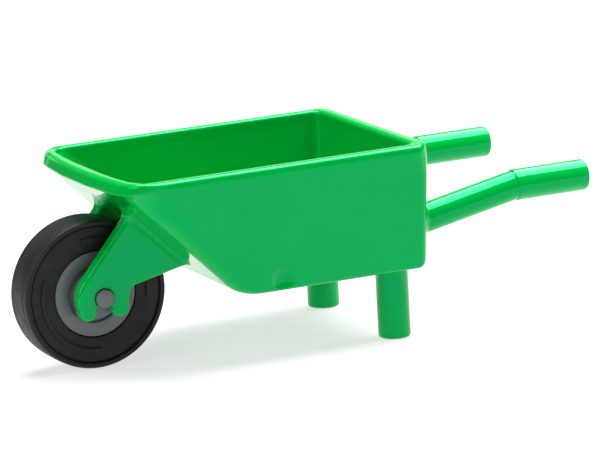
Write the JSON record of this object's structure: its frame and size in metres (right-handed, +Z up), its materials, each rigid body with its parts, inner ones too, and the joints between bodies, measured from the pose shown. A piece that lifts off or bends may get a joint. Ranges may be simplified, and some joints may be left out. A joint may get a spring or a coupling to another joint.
{
  "type": "toy wheelbarrow",
  "caption": "Small moulded toy wheelbarrow: open tub with sloping front, round legs, bent handles and a snap-in wheel with a rubber tyre that spins.",
  "frame": {"origin": "on the floor, under the middle of the whole barrow's length and width", "axes": "+X from the wheel towards the grips, +Z up; -Y is the left side of somebody who holds the grips and pushes"},
  "size_m": [0.0562, 0.024, 0.0194],
  "materials": {
    "barrow_plastic": "high-gloss moulded plastic",
    "wheel_plastic": "satin-gloss moulded plastic",
    "tyre_rubber": "smooth moulded rubber, slightly satin"
  },
  "bodies": {
    "barrow": {"tub": "barrow_plastic", "left_fork_cheek": "barrow_plastic", "right_fork_cheek": "barrow_plastic", "left_leg": "barrow_plastic", "right_leg": "barrow_plastic", "left_arm": "barrow_plastic", "right_arm": "barrow_plastic", "left_grip": "barrow_plastic", "right_grip": "barrow_plastic"},
    "wheel": {"wheel_hub": "wheel_plastic", "tyre": "tyre_rubber"}
  },
  "joints": [
    {"name": "wheel_spin", "type": "hinge", "parent": "barrow", "child": "wheel", "pos_m": [-0.02083, 0, 0.0073], "axis": [0, 1, 0], "continuous": true}
  ]
}
